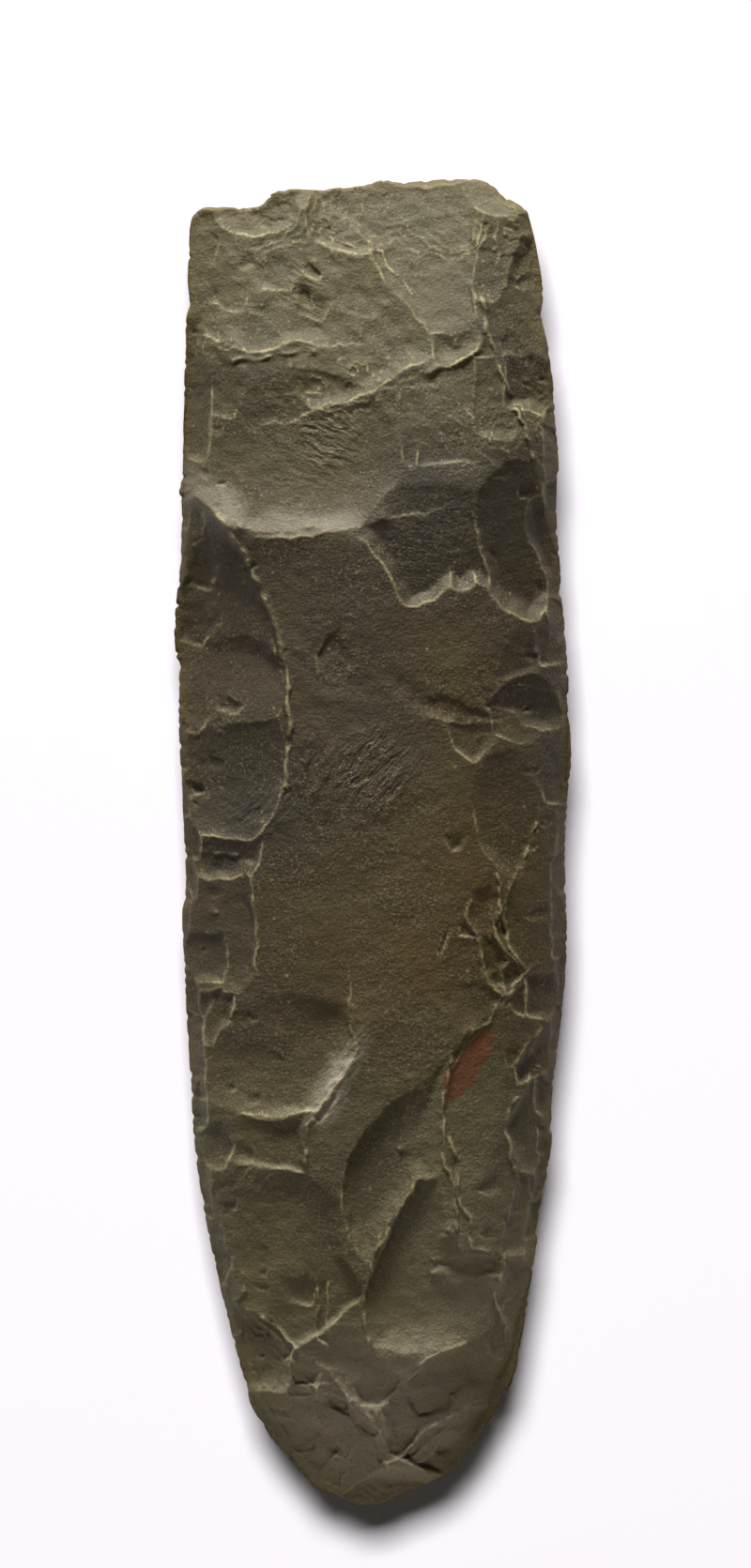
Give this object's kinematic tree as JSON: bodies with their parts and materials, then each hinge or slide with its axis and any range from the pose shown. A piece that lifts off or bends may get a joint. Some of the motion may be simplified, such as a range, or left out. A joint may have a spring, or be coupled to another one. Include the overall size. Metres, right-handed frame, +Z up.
{
  "type": "flaked stone axe head",
  "caption": "Long flaked stone axe head with a broad blade end, rounded butt and scarred faces.",
  "frame": {"origin": "on the surface the stone lies on, under the middle of its outline", "axes": "+Y along the stone toward the blade end, +Z up out of the face that shows, +X to the right across the stone with the blade end away"},
  "size_m": [0.0635, 0.2121, 0.0302],
  "materials": {
    "greenstone": "matte"
  },
  "bodies": {
    "root": {"axe_head": "greenstone"}
  },
  "joints": []
}
